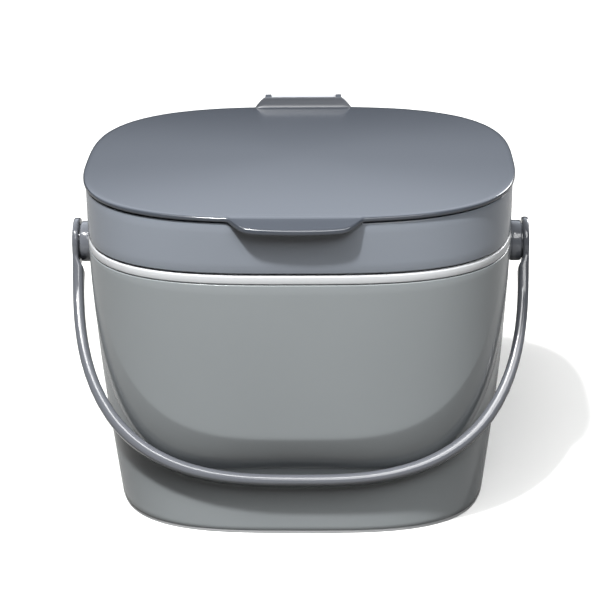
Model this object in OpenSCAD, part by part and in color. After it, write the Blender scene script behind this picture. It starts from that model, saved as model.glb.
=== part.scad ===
// Compost caddy with a hinged lid, a lift-off collar, a lift-out bucket and a bail handle.
// Millimetres, +Z up, origin at the middle of the footprint on the floor, front towards -Y.

/* [Lid] */
// Width of the lid across its rim
lid_width = 234.8; // [225:0.2:245]
// Depth of the lid across its rim, without the thumb tab
lid_depth = 200.6; // [192:0.2:208]
// Squareness of the lid outline, 2 is an ellipse
lid_square = 2.9; // [2.7:0.01:3.2]
// Height of the lid's rim edge
lid_edge = 2.2; // [2:0.1:3]
// Rise of the lid's crown above its rim
lid_crown = 2.6; // [1.5:0.1:5]
// Thickness of the lid's top skin
lid_skin = 2.4; // [2:0.1:3]
// Gap between the lid's rim and the collar
lid_gap = 1.2; // [0.8:0.1:1.6]
// Depth of the rib under the lid that drops into the collar
plug_depth = 9; // [7:0.5:11]
// Thickness of that rib
plug_wall = 2; // [1.6:0.1:2.4]
// Room between the rib and the collar's wall
plug_room = 2; // [1.8:0.1:2.4]
// Thickness of the panel that closes the lid's underside
panel_thickness = 1.6; // [1.2:0.1:2]
// Height of the panel's face above the rib's lower edge
panel_recess = 4; // [3:0.5:5]

/* [Thumb tab] */
// Width of the tab where its sides meet the rim
tab_width = 69.4; // [60:0.2:80]
// Reach of the tab past the lid's rim
tab_reach = 8.2; // [6:0.2:10]
// Bow of the tab's front edge from its middle to its corners
tab_bow = 1.1; // [0.6:0.1:2]
// Rounding of the tab's corners
tab_corner = 1.6; // [1:0.1:3]
// Fall of the tab's top from the rim to its nose
tab_fall = 4; // [2:0.1:5]
// Height of the tab's nose
tab_nose_height = 2.4; // [2:0.1:3]
// Rounding of the tab's nose
tab_nose = 0.8; // [0.5:0.1:1]
// Length of the tab's root on the lid
tab_root = 6; // [5:0.5:8]

/* [Collar] */
// Height of the collar's outer wall
collar_height = 27.3; // [25:0.1:31]
// Thickness of the collar's outer wall
collar_wall = 2.4; // [2.2:0.1:2.8]
// Inset of the collar's top edge from the lid's rim
collar_inset = 1.1; // [0.8:0.1:1.6]
// Gap between the collar and the bucket's rim
collar_gap = 1.2; // [0.8:0.1:1.6]
// Thickness of the web that joins the collar's outer wall to its lip
web_thickness = 2.2; // [1.8:0.1:2.8]
// Length of the lip below the collar's lower edge
lip_length = 9; // [7:0.5:12]
// Thickness of the lip
lip_wall = 2; // [1.6:0.1:2.4]

/* [Bucket] */
// Height of the rim band that shows between collar and shell
rim_height = 5.1; // [4:0.1:7]
// Inset of the rim band from the lid's rim
rim_inset = 1.6; // [1.4:0.1:2.8]
// Squareness of the rim outline
rim_square = 3.13; // [3:0.01:3.4]
// Wall of the bucket
bucket_wall = 2; // [1.8:0.1:2.4]
// Room between the bucket and the shell at the rim
bucket_room = 3; // [2.6:0.1:4]
// Height of the bucket's underside above the shell's floor
bucket_lift_gap = 5; // [3:0.5:8]
// Rounding between the bucket's walls and its floor
bucket_round = 26; // [20:1:30]
// Room between the bucket and the shell's sides at the base
floor_side_room = 1.7; // [1.4:0.1:3]
// Room between the bucket and the shell's front and back at the base
floor_front_room = 3.8; // [3:0.1:5]

/* [Shell] */
// Height of the outer shell
shell_height = 148.8; // [140:0.1:156]
// Wall of the outer shell
shell_wall = 2.5; // [2.2:0.1:2.8]
// Width of the shell at its base
base_width = 207.4; // [202:0.1:212]
// Depth of the shell at its base
base_depth = 172; // [168:0.2:175]
// Squareness of the base outline
base_square = 3.3; // [2.9:0.01:3.5]
// Depth of the shell at its waist, just under the bowl
waist_depth = 168; // [166:0.2:172]
// Height of the waist above the shell's lower edge
waist_height = 32; // [28:0.5:36]
// Height of the bowl's lower edge above the shell's lower edge
bowl_edge_height = 61.3; // [56:0.1:66]
// Width of the U that the bowl's edge follows
bowl_edge_width = 229; // [224:0.5:232]
// Squareness of that U
bowl_square = 3.6; // [3:0.05:4.2]
// Height of the U's widest point above the bowl's lower edge
bowl_rise = 190; // [180:1:200]
// Outward swell of the side walls at half height
side_swell = 2; // [1:0.1:3]
// Height of the soft foot ring
foot_height = 1.9; // [1.5:0.1:2.5]
// Width of the foot ring's tread
foot_width = 7; // [5:0.5:9]
// Inset of the foot ring from the base outline
foot_inset = 0.3; // [0.2:0.1:1.4]

/* [Handle] */
// Height of the resting grip's inner edge above the floor
grip_height = 34.4; // [28:0.2:38]
// Squareness of the handle's curve
handle_square = 2.85; // [2.6:0.05:3]
// Thickness of the handle's rod across its width
handle_thickness = 5.9; // [5:0.1:6.4]
// Width of the rod where it leaves the eyes
arm_band = 18; // [14:0.5:22]
// Width of the rod along the grip
grip_band = 9.5; // [8:0.5:12]
// Distance from the pivots at which the rod has narrowed to the grip
taper_length = 34; // [26:1:60]
// Length of the slope under each eye where the rod gains its thickness
arm_slope = 4.5; // [3:0.5:8]
// Radius of the handle's eyes
eye_radius = 13.3; // [12.5:0.1:14]
// Thickness of the handle's eyes
eye_thickness = 3.4; // [3:0.1:3.8]
// Gap between the resting handle and the shell
rest_gap = 0.5; // [0.3:0.1:1]

/* [Pivots] */
// Depth of the pivot axis below the shell's top edge
pivot_drop = 11.7; // [9:0.1:14]
// Radius of the pivot bosses
boss_radius = 11.4; // [10:0.1:12]
// Length of the pivot bosses, from their pads to the washers
boss_length = 6.6; // [5.5:0.1:9]
// Height of the flat pads on the shell that the bosses stand on
pad_height = 1; // [0.8:0.1:1.4]
// Thickness of the washer between a boss and the handle's eye
washer_thickness = 0.7; // [0.4:0.1:1]
// Radius of the pivot pins
pin_radius = 4; // [3.5:0.1:5]
// Running clearance round a pin
pin_clearance = 0.05; // [0.02:0.01:0.1]
// Radius of the spigot that seats a boss in the shell
spigot_radius = 8; // [7:0.1:8.5]
// Radius of the retaining rings on the pins
retainer_radius = 7; // [6.5:0.1:7.5]
// Thickness of the retaining rings
retainer_thickness = 1; // [0.8:0.1:1.2]
// Gap between a retaining ring and the boss's spigot
retainer_gap = 0.1; // [0.05:0.05:0.3]
// Length of a pin's end past its retaining ring
pin_end = 0.4; // [0.2:0.1:1]
// Skin of the handle's eye over the end of a pin
eye_cover = 1.2; // [0.8:0.1:1.6]

/* [Hinge] */
// Length of the hinge barrel
barrel_length = 37.8; // [34:0.2:42]
// Radius of the hinge barrel
barrel_radius = 3.5; // [3.2:0.1:4]
// Width of the lid's hinge block where it meets the lid
block_width = 57.2; // [52:0.2:62]
// Thickness of the ears at the ends of the block
ear_width = 3.6; // [3:0.1:4.6]
// Distance of the hinge axis behind the lid's rim
hinge_back = 5.3; // [5:0.1:6]
// Height of the hinge axis above the lid's rim
hinge_rise = 2.4; // [2:0.1:4.5]
// Radius of the hinge pin
hinge_pin_radius = 1.5; // [1.2:0.1:1.8]
// Gap between the barrel and the ears at its ends
barrel_gap = 0.3; // [0.3:0.05:0.6]
// Thickness of the block's wall in front of the barrel, at its foot
block_wall = 3.6; // [3:0.1:4]
// Thickness of that wall at its top
block_crest = 1.4; // [1:0.1:2]
// Distance of the bracket's sides from the ends of the barrel
bracket_inset = 1.5; // [1:0.1:2.5]
// Thickness of the bracket's leaf
leaf_thickness = 2.8; // [2.4:0.1:3.2]
// Distance of the leaf's front face ahead of the hinge axis
leaf_offset = 1.2; // [0.8:0.1:1.4]
// Distance of the bracket's foot below the collar's top edge
foot_drop = 3; // [2.5:0.1:4]
// Distance of the bracket's foot above the collar's lower edge
foot_rise = 6; // [5:0.2:7]
// Height of the seat on the collar that the bracket's foot stands on
seat_height = 1.6; // [1.2:0.1:2]
// Margin of that seat round the bracket's foot
seat_margin = 1.5; // [1:0.1:2]
// Thickness of the plate behind the collar's wall
plate_thickness = 2; // [1.6:0.1:2.4]
// Gap between that plate and the lid's rib above it
plate_gap = 1.5; // [1:0.1:2.5]
// Radius of the hinge screws
screw_radius = 1.5; // [1.2:0.1:1.8]
// Distance of the screws from the bracket's sides
screw_edge = 6; // [5:0.2:8]
// Height of the screws' heads
screw_head = 1.8; // [1.4:0.1:2.2]
// Length of the screws past the plate
screw_end = 1; // [0.6:0.1:2]

/* [Seals] */
// Height of the seal round the collar's lip
collar_seal_height = 4; // [3:0.5:5]
// Height of the seal round the lid's rib
lid_seal_height = 3; // [2.5:0.5:4]
// Free gap left at each seal
seal_gap = 0.6; // [0.4:0.05:0.8]

/* [Hidden] */

charcoal = [0.43, 0.45, 0.49];
dark_charcoal = [0.3, 0.31, 0.35];
light_grey = [0.82, 0.83, 0.84];
silicone = [0.62, 0.64, 0.67];
steel = [0.75, 0.76, 0.78];
ring_points = 64;
$fn = 64;

// The stack of heights, from the floor up
shell_bottom = foot_height;
shell_top = shell_bottom + shell_height;
rim_bottom = shell_top;
rim_top = rim_bottom + rim_height;
collar_bottom = rim_top + collar_gap;
collar_top = collar_bottom + collar_height;
lid_bottom = collar_top + lid_gap;
lid_rim_top = lid_bottom + lid_edge;

// Half sizes of the outlines
lid_half = [lid_width / 2, lid_depth / 2];
rim_half = [lid_half.x - rim_inset, lid_half.y - rim_inset];
collar_top_half = [lid_half.x - collar_inset, lid_half.y - collar_inset];
base_half = [base_width / 2, base_depth / 2];
waist_z = shell_bottom + waist_height;
bowl_edge_z = shell_bottom + bowl_edge_height;
bowl_top_z = bowl_edge_z + bowl_rise;

// One ring of a super-ellipse with half sizes h and squareness n, at height z
function sign_power(v, p) = (v < 0 ? -1 : 1) * pow(abs(v), p);
function super_point(h, n, t, z) = [h.x * sign_power(cos(t), 2 / n), h.y * sign_power(sin(t), 2 / n), z];
function super_ring(h, n, z) = [for (i = [0 : ring_points - 1]) super_point(h, n, 360 * i / ring_points, z)];
function inset(h, d) = [h.x - d, h.y - d];
function mix(a, b, k) = a * (1 - k) + b * k;
function flat(rings) = [for (r = rings) for (p = r) p];

// Skins a list of rings. A closed loft joins its last ring to its first, an open one has flat caps.
module loft(rings, closed = false) {
    count = len(rings[0]);
    rows = len(rings);
    spans = closed ? rows : rows - 1;
    sides = [for (k = [0 : spans - 1]) for (i = [0 : count - 1])
        let (a = k * count, b = ((k + 1) % rows) * count, j = (i + 1) % count)
        each [[a + i, b + j, a + j], [a + i, b + i, b + j]]];
    caps = closed ? [] : [[for (i = [0 : count - 1]) i], [for (i = [count - 1 : -1 : 0]) (rows - 1) * count + i]];
    polyhedron(points = flat(rings), faces = concat(sides, caps));
}

// The shell's outline: tapered walls with a bowl that swells out at front and back above the waist
function wall_k(z) = (z - shell_bottom) / shell_height;
function wall_half_x(z) = mix(base_half.x, rim_half.x, wall_k(z)) + side_swell * sin(180 * wall_k(z));
function wall_half_y(z) = z < waist_z
    ? mix(base_half.y, waist_depth / 2, (z - shell_bottom) / waist_height)
    : mix(waist_depth / 2, rim_half.y, (z - waist_z) / (shell_top - waist_z));
function wall_square(z) = mix(base_square, rim_square, wall_k(z));
// How far, in mm, a point of the front view lies outside the U of the bowl's edge
function outside_u(x, z) =
    let (u = pow(pow(abs(x) / (bowl_edge_width / 2), bowl_square)
        + pow(max(0, bowl_top_z - z) / bowl_rise, bowl_square), 1 / bowl_square))
    max(0, u - 1) * bowl_rise;
// The rounded underside that runs from the bowl's edge back to the waist
bowl_fall = bowl_edge_z - waist_z;
bowl_start_slope = 0.2;
bowl_bend = (rim_half.y - waist_depth / 2 - bowl_start_slope * bowl_fall) / pow(bowl_fall, 2);
function bowl_return(d) = bowl_start_slope * d + bowl_bend * d * d;
function bowl_y(x, z) =
    rim_half.y * pow(max(0, 1 - pow(abs(x) / rim_half.x, rim_square)), 1 / rim_square) - bowl_return(outside_u(x, z));
function shell_point(t, z) =
    let (p = super_point([wall_half_x(z), wall_half_y(z)], wall_square(z), t, z))
    [p.x, (p.y < 0 ? -1 : 1) * max(abs(p.y), bowl_y(p.x, z)), z];
function shell_ring(z, wall = 0) =
    let (k = [1 - wall / wall_half_x(z), 1 - wall / max(wall_half_y(z), bowl_y(0, z))])
    [for (i = [0 : ring_points - 1])
        let (p = shell_point(360 * i / ring_points, z)) [p.x * k.x, p.y * k.y, z]];

// Pivots and the resting handle
pivot_z = shell_top - pivot_drop;
seat_clearance = 0.05;
boss_inner_x = wall_half_x(pivot_z) + pad_height;
boss_outer_x = boss_inner_x + boss_length;
eye_inner_x = boss_outer_x + washer_thickness;
handle_half = eye_inner_x + eye_thickness;
spigot_inner_x = boss_inner_x - shell_wall - pad_height;
retainer_inner_x = spigot_inner_x - retainer_gap - retainer_thickness;
pin_inner_x = retainer_inner_x - pin_end;
body_front = max(base_half.y, waist_depth / 2);
grip_corner = sqrt(pow(pivot_z - grip_height, 2) + pow(body_front + rest_gap, 2));
handle_reach = handle_thickness + sqrt(pow(grip_corner, 2) - pow(grip_band / 2, 2));
handle_lean = asin((body_front + rest_gap) / grip_corner) + atan(grip_band / 2 / (handle_reach - handle_thickness));

// Hinge
hinge_y = lid_half.y + hinge_back;
hinge_z = lid_rim_top + hinge_rise;
ear_inner_x = barrel_length / 2 + barrel_gap;
ear_outer_x = ear_inner_x + ear_width;
block_back = lid_half.y - 0.2;

module on_left() {
    mirror([1, 0, 0]) children();
}

// Charcoal outer shell with two flat pads for the pivot bosses
module outer_shell() {
    levels = 22;
    rows = [for (k = [0 : levels]) mix(shell_bottom + 1.2, shell_top, k / levels)];
    inner_rows = [for (k = [9 : -1 : 0]) mix(shell_bottom + shell_wall, shell_top, k / 9)];
    color(charcoal)
        difference() {
            union() {
                loft(concat([[for (p = shell_ring(shell_bottom, 1.2)) [p.x, p.y, shell_bottom]]],
                    [for (z = rows) shell_ring(z)],
                    [for (z = inner_rows) shell_ring(z, shell_wall)]));
                pivot_pad();
                on_left() pivot_pad();
            }
            pivot_hole();
            on_left() pivot_hole();
        }
}

module pivot_pad() {
    translate([boss_inner_x - shell_wall, 0, pivot_z])
        rotate([0, 90, 0])
            cylinder(r = boss_radius - 0.6, h = shell_wall);
}

module pivot_hole() {
    translate([spigot_inner_x - 1, 0, pivot_z])
        rotate([0, 90, 0])
            cylinder(r = spigot_radius + seat_clearance, h = boss_inner_x - spigot_inner_x + 2);
}

// Soft ring under the shell that the caddy stands on
module foot_ring() {
    outer = inset(base_half, foot_inset + 1.2);
    inner = inset(outer, foot_width);
    color(light_grey)
        loft([super_ring(outer, base_square, 0.5), super_ring(outer, base_square, foot_height),
            super_ring(inner, base_square, foot_height), super_ring(inner, base_square, 0),
            super_ring(inset(outer, 0.5), base_square, 0)], closed = true);
}

// Light lift-out bucket whose rim shows as the band between the collar and the shell
bucket_top_half = inset(rim_half, shell_wall + bucket_room);
bucket_bottom = shell_bottom + shell_wall + bucket_lift_gap;
bucket_floor_half = [base_half.x - shell_wall - floor_side_room,
    min(base_half.y, waist_depth / 2) - shell_wall - floor_front_room];
function bucket_half(z) =
    let (k = (z - bucket_bottom) / (rim_bottom - bucket_bottom), d = max(0, bucket_round - (z - bucket_bottom)),
        tuck = bucket_round - sqrt(max(0, bucket_round * bucket_round - d * d)))
    [mix(bucket_floor_half.x, bucket_top_half.x, k) - tuck * 0.8,
        mix(bucket_floor_half.y, bucket_top_half.y, k) - tuck * 0.8];
bucket_rows = concat([for (a = [0 : 15 : 90]) bucket_bottom + bucket_round * (1 - cos(a))],
    [for (k = [1 : 4]) mix(bucket_bottom + bucket_round, rim_bottom, k / 4)]);

module inner_bucket() {
    inner_rise = bucket_wall;
    color(light_grey)
        loft(concat(
            [for (z = bucket_rows) super_ring(bucket_half(z), rim_square, z)],
            [super_ring(inset(rim_half, 0.3), rim_square, rim_bottom), super_ring(rim_half, rim_square, rim_bottom + 0.3),
                super_ring(rim_half, rim_square, rim_top - 0.5), super_ring(inset(rim_half, 0.5), rim_square, rim_top)],
            [super_ring(inset(bucket_top_half, bucket_wall), rim_square, rim_top)],
            [for (k = [len(bucket_rows) - 1 : -1 : 0])
                let (z = bucket_rows[k])
                super_ring(inset(bucket_half(z), bucket_wall), rim_square, mix(z + inner_rise, z, wall_k(z)))]));
}

// Collar that carries the lid: an outer wall, a web across the rim and a lip inside the bucket
lip_half = inset(bucket_top_half, bucket_wall + seal_gap + 1.4);
lip_bottom = collar_bottom - lip_length;

module collar_body() {
    top_inner = inset(collar_top_half, collar_wall);
    bottom_inner = inset(rim_half, collar_wall);
    web_top = collar_bottom + web_thickness;
    loft([super_ring(inset(rim_half, 0.4), rim_square, collar_bottom),
        super_ring(rim_half, rim_square, collar_bottom + 0.4),
        super_ring(collar_top_half, lid_square, collar_top - 0.4),
        super_ring(inset(collar_top_half, 0.4), lid_square, collar_top),
        super_ring(top_inner, lid_square, collar_top),
        super_ring(bottom_inner, rim_square, web_top),
        super_ring(inset(lip_half, lip_wall), rim_square, web_top),
        super_ring(inset(lip_half, lip_wall + 0.6), rim_square, lip_bottom),
        super_ring(inset(lip_half, 0.6), rim_square, lip_bottom),
        super_ring(lip_half, rim_square, collar_bottom)], closed = true);
}

module lid_collar() {
    color(charcoal)
        difference() {
            union() {
                collar_body();
                bracket_seat();
            }
            screw_holes(screw_radius);
        }
}

// Seal between the collar's lip and the bucket
module collar_seal() {
    outer = inset(bucket_top_half, bucket_wall + seal_gap);
    seal_top = collar_bottom - 0.3;
    color(silicone)
        seal_loop(outer, lip_half, rim_square, seal_top - collar_seal_height, seal_top);
}

module seal_loop(outer, inner, square, low, high) {
    soft = 0.5;
    loft([super_ring(inset(outer, soft), square, low), super_ring(outer, square, low + soft),
        super_ring(outer, square, high - soft), super_ring(inset(outer, soft), square, high),
        super_ring(inset(inner, -0.02), square, high), super_ring(inset(inner, -0.02), square, low)], closed = true);
}

// Crowned lid with a rim, a rib that drops into the collar, the thumb tab and the hinge block
plug_half = inset(collar_top_half, collar_wall + plug_room);
plug_bottom = lid_bottom - plug_depth;
function crown_z(k) = lid_rim_top + lid_crown * (1 - k * k);
lid_steps = [0.94, 0.84, 0.7, 0.52, 0.3, 0.12];

module lid_body() {
    rib_inner = inset(plug_half, plug_wall);
    under_k = rib_inner.x / lid_half.x;
    loft(concat(
        [super_ring([lid_half.x * 0.12, lid_half.y * 0.12], lid_square, crown_z(0.12) - lid_skin)],
        [for (k = [0.3, 0.52, 0.7, 0.84]) super_ring(lid_half * k, lid_square, crown_z(k) - lid_skin)],
        [super_ring(rib_inner, lid_square, crown_z(under_k) - lid_skin),
            super_ring(rib_inner, lid_square, plug_bottom),
            super_ring(plug_half, lid_square, plug_bottom),
            super_ring(plug_half, lid_square, lid_bottom),
            super_ring(inset(lid_half, 0.5), lid_square, lid_bottom),
            super_ring(lid_half, lid_square, lid_bottom + 0.5),
            super_ring(lid_half, lid_square, lid_rim_top - 0.9),
            super_ring(inset(lid_half, 0.3), lid_square, lid_rim_top - 0.3),
            super_ring(inset(lid_half, 1.2), lid_square, lid_rim_top + 0.1)],
        [for (k = lid_steps) super_ring(lid_half * k, lid_square, crown_z(k))]));
}

// Reach of the thumb tab at x: a bowed front and sides at 45 degrees, with rounded corners between them
function tab_edge(x) =
    let (front = tab_reach - tab_bow * pow(2 * x / tab_width, 2), side = tab_width / 2 - abs(x))
    min(front, (front + side - sqrt(pow(front - side, 2) + tab_corner * tab_corner)) / 2);

module thumb_tab() {
    half = tab_width / 2 - 0.4;
    nose_top = lid_rim_top - tab_fall;
    translate([0, -lid_half.y, 0])
        intersection() {
            translate([0, 0, nose_top - tab_nose_height - 1])
                linear_extrude(height = tab_nose_height + tab_fall + 2)
                    polygon(concat([[half, tab_root], [-half, tab_root]],
                        [for (k = [-12 : 12]) [half * k / 12, -max(0.1, tab_edge(half * k / 12))]]));
            translate([half + 1, 0, 0])
                rotate([90, 0, -90])
                    linear_extrude(height = 2 * half + 2)
                        polygon([[-tab_root, lid_bottom + 0.2], [0, lid_bottom],
                            [tab_reach + 0.01, nose_top - tab_nose_height],
                            [tab_reach + 0.01, nose_top - tab_nose],
                            [tab_reach - tab_nose, nose_top + tab_nose * tab_fall / tab_reach],
                            [0, lid_rim_top], [-tab_root, lid_rim_top]]);
        }
}

module lid_cover() {
    color(charcoal)
        difference() {
            union() {
                lid_body();
                thumb_tab();
                hinge_block();
            }
            translate([-ear_outer_x - 1, hinge_y, hinge_z])
                rotate([0, 90, 0])
                    cylinder(r = hinge_pin_radius, h = 2 * ear_outer_x + 2);
        }
}

// Block at the back of the lid: a sloped wall in front of the barrel and an ear at each end of it
module hinge_block() {
    top = hinge_z + barrel_radius + 0.1;
    bottom = lid_bottom + 0.5;
    shoulder = mix(ear_outer_x, block_width / 2, 0.2);
    intersection() {
        translate([0, block_back, 0])
            rotate([90, 0, 0])
                linear_extrude(height = block_wall)
                    polygon([[-block_width / 2, bottom], [block_width / 2, bottom], [block_width / 2, lid_rim_top],
                        [shoulder, top - 0.8], [ear_outer_x, top], [-ear_outer_x, top], [-shoulder, top - 0.8],
                        [-block_width / 2, lid_rim_top]]);
        translate([-block_width / 2 - 1, 0, 0])
            rotate([90, 0, 90])
                linear_extrude(height = block_width + 2)
                    polygon([[block_back - block_wall, bottom], [block_back, bottom], [block_back, top],
                        [block_back - block_crest, top], [block_back - block_wall, lid_rim_top]]);
    }
    hinge_ear();
    on_left() hinge_ear();
}

module hinge_ear() {
    translate([ear_inner_x, 0, 0])
        rotate([90, 0, 90])
            linear_extrude(height = ear_width)
                union() {
                    translate([hinge_y, hinge_z])
                        circle(r = barrel_radius);
                    translate([block_back - block_crest, hinge_z - barrel_radius])
                        square([hinge_y - block_back + block_crest, 2 * barrel_radius]);
                }
}

// Panel that closes the lid's underside
module lid_inner_panel() {
    half = inset(plug_half, plug_wall + 0.1);
    low = plug_bottom + panel_recess;
    color(light_grey)
        loft([super_ring(half, lid_square, low), super_ring(half, lid_square, low + panel_thickness)]);
}

// Seal round the lid's rib
module lid_seal() {
    outer = inset(collar_top_half, collar_wall + seal_gap);
    low = plug_bottom + 2;
    color(silicone)
        seal_loop(outer, plug_half, lid_square, low, low + lid_seal_height);
}

// Light bracket on the back of the collar, with the hinge barrel at its top
bracket_half = barrel_length / 2 - bracket_inset;
bracket_foot_top = collar_top - foot_drop;
bracket_foot_bottom = collar_bottom + foot_rise;
bracket_front = rim_half.y + seat_height;
leaf_front = hinge_y - leaf_offset;
leaf_back = leaf_front + leaf_thickness;
plate_back = rim_half.y - collar_wall - 0.1;
plate_top = plug_bottom - plate_gap;
screw_z = (plate_top + bracket_foot_bottom) / 2;
screw_reach = leaf_back - plate_back + plate_thickness + screw_end;
screw_x = bracket_half - screw_edge;

module bracket_seat() {
    seat_inner = rim_half.y - collar_wall / 2;
    translate([-bracket_half - seat_margin, seat_inner, bracket_foot_bottom])
        cube([2 * (bracket_half + seat_margin), bracket_front - seat_inner, bracket_foot_top - bracket_foot_bottom]);
}

module hinge_bracket() {
    color(light_grey)
        difference() {
            union() {
                translate([-barrel_length / 2, hinge_y, hinge_z])
                    rotate([0, 90, 0])
                        cylinder(r = barrel_radius, h = barrel_length);
                translate([-bracket_half, leaf_front, bracket_foot_bottom])
                    cube([2 * bracket_half, leaf_back - leaf_front, hinge_z - bracket_foot_bottom]);
                translate([-bracket_half, bracket_front, bracket_foot_bottom])
                    cube([2 * bracket_half, leaf_back - bracket_front, bracket_foot_top - bracket_foot_bottom]);
            }
            translate([-barrel_length, hinge_y, hinge_z])
                rotate([0, 90, 0])
                    cylinder(r = hinge_pin_radius + pin_clearance, h = 2 * barrel_length);
            screw_holes(screw_radius);
        }
}

// Plate behind the collar's wall that the hinge screws bite into
module hinge_backplate() {
    color(steel)
        difference() {
            translate([-bracket_half, plate_back - plate_thickness, bracket_foot_bottom])
                cube([2 * bracket_half, plate_thickness, plate_top - bracket_foot_bottom]);
            screw_holes(screw_radius);
        }
}

module screw_holes(radius) {
    for (x = [-screw_x, screw_x])
        translate([x, leaf_back + leaf_thickness, screw_z])
            rotate([90, 0, 0])
                cylinder(r = radius, h = screw_reach + 2 * leaf_thickness);
}

module hinge_pin() {
    color(steel)
        translate([-ear_outer_x + pin_end, hinge_y, hinge_z])
            rotate([0, 90, 0])
                cylinder(r = hinge_pin_radius, h = 2 * (ear_outer_x - pin_end));
}

module hinge_screws() {
    color(steel)
        for (x = [-screw_x, screw_x])
            translate([x, leaf_back, screw_z])
                rotate([90, 0, 0])
                    union() {
                        translate([0, 0, -screw_head])
                            cylinder(r = screw_radius * 1.9, h = screw_head);
                        cylinder(r = screw_radius, h = screw_reach);
                    }
}

// Bail handle: a rod that grows out of its thin eyes, drawn hanging straight down and then leaned forward
arm_start = boss_radius + 1.2;
function arm_angle(s) = asin(pow(s / handle_reach, handle_square / 2));
first_angle = arm_angle(arm_start);
slope_angle = arm_angle(arm_start + arm_slope);
arm_angles = concat([first_angle], [for (k = [0 : 46]) mix(slope_angle, 180 - slope_angle, k / 46)], [180 - first_angle]);
function rod_thickness(s) = mix(eye_thickness, handle_thickness, min(1, (s - arm_start) / arm_slope));
function band_half(s) = mix(grip_band, arm_band, (1 + cos(180 * min(1, s / taper_length))) / 2) / 2;
function handle_edge(t, d) =
    [(handle_half - d) * sign_power(cos(t), 2 / handle_square), -(handle_reach - d) * sign_power(sin(t), 2 / handle_square)];
function handle_section(t) =
    let (o = handle_edge(t, 0), i = handle_edge(t, rod_thickness(abs(o.y))), w = band_half(abs(o.y)), c = 0.3)
    [for (q = [[0, 1 - c], [0, -1 + c], [c, -1], [1 - c, -1], [1, -1 + c], [1, 1 - c], [1 - c, 1], [c, 1]])
        let (p = mix(o, i, q[0])) [p.x, q[1] * w, p.y]];

module bail_handle() {
    color(charcoal)
        translate([0, 0, pivot_z])
            rotate([-handle_lean, 0, 0])
                difference() {
                    union() {
                        loft([for (t = arm_angles) handle_section(t)]);
                        handle_eye();
                        on_left() handle_eye();
                    }
                    eye_bore();
                    on_left() eye_bore();
                }
}

module handle_eye() {
    translate([eye_inner_x, 0, 0])
        rotate([0, 90, 0])
            cylinder(r = eye_radius, h = eye_thickness);
    translate([eye_inner_x, -arm_band / 2, -arm_start - 4])
        cube([eye_thickness - 0.4, arm_band, arm_start + 4]);
}

module eye_bore() {
    translate([eye_inner_x - 1, 0, 0])
        rotate([0, 90, 0])
            cylinder(r = pin_radius, h = 1 + eye_thickness - eye_cover);
}

// Boss that stands the handle off the shell, seated in the shell by its spigot
module pivot_boss() {
    color(dark_charcoal)
        difference() {
            union() {
                translate([boss_inner_x, 0, pivot_z])
                    rotate([0, 90, 0])
                        cylinder(r = boss_radius, h = boss_outer_x - boss_inner_x);
                translate([spigot_inner_x, 0, pivot_z])
                    rotate([0, 90, 0])
                        cylinder(r = spigot_radius, h = boss_inner_x - spigot_inner_x);
            }
            translate([spigot_inner_x - 1, 0, pivot_z])
                rotate([0, 90, 0])
                    cylinder(r = pin_radius + pin_clearance, h = boss_outer_x - spigot_inner_x + 2);
        }
}

module pivot_boss_right() {
    pivot_boss();
}

module pivot_boss_left() {
    on_left() pivot_boss();
}

// Pin pressed into the handle's eye and turning in the boss
module pivot_pin() {
    color(steel)
        translate([pin_inner_x, 0, pivot_z])
            rotate([0, 90, 0])
                cylinder(r = pin_radius, h = eye_inner_x + eye_thickness - eye_cover - pin_inner_x);
}

// Washer between the boss and the handle's eye
module pivot_washer() {
    color(dark_charcoal)
        translate([boss_outer_x, 0, pivot_z])
            rotate([0, 90, 0])
                difference() {
                    cylinder(r = boss_radius - 1.6, h = washer_thickness);
                    translate([0, 0, -1])
                        cylinder(r = pin_radius + pin_clearance, h = washer_thickness + 2);
                }
}

module pivot_washer_right() {
    pivot_washer();
}

module pivot_washer_left() {
    on_left() pivot_washer();
}

// Ring pressed onto the pin inside the shell, so that the handle can't pull out
module pin_retainer() {
    color(steel)
        translate([retainer_inner_x, 0, pivot_z])
            rotate([0, 90, 0])
                difference() {
                    cylinder(r = retainer_radius, h = retainer_thickness);
                    translate([0, 0, -1])
                        cylinder(r = pin_radius, h = retainer_thickness + 2);
                }
}

module pin_retainer_right() {
    pin_retainer();
}

module pin_retainer_left() {
    on_left() pin_retainer();
}

module pivot_pin_right() {
    pivot_pin();
}

module pivot_pin_left() {
    on_left() pivot_pin();
}

outer_shell();
foot_ring();
inner_bucket();
lid_collar();
collar_seal();
lid_cover();
lid_inner_panel();
lid_seal();
hinge_bracket();
hinge_backplate();
hinge_pin();
hinge_screws();
bail_handle();
pivot_boss_left();
pivot_boss_right();
pivot_pin_left();
pivot_pin_right();
pivot_washer_left();
pivot_washer_right();
pin_retainer_left();
pin_retainer_right();
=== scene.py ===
from math import asin, atan2, cos, pi, radians, sin, sqrt

import bmesh
import bpy
from mathutils import Matrix, Vector


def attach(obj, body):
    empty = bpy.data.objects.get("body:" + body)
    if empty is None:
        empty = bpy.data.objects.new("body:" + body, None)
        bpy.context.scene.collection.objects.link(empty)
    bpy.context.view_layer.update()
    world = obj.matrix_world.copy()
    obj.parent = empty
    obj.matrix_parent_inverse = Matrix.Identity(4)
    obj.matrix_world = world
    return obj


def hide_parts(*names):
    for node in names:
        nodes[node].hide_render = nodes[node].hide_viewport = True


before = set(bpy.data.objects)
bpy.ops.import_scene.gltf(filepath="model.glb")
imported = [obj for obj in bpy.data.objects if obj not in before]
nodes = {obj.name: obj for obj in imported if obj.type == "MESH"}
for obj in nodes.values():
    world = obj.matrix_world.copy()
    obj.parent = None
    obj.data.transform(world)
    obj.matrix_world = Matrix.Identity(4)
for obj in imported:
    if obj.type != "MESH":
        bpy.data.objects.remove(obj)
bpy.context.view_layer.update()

scene = bpy.context.scene
millimetre = 0.001
mergeGap = 0.0005    # in millimetres
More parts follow.
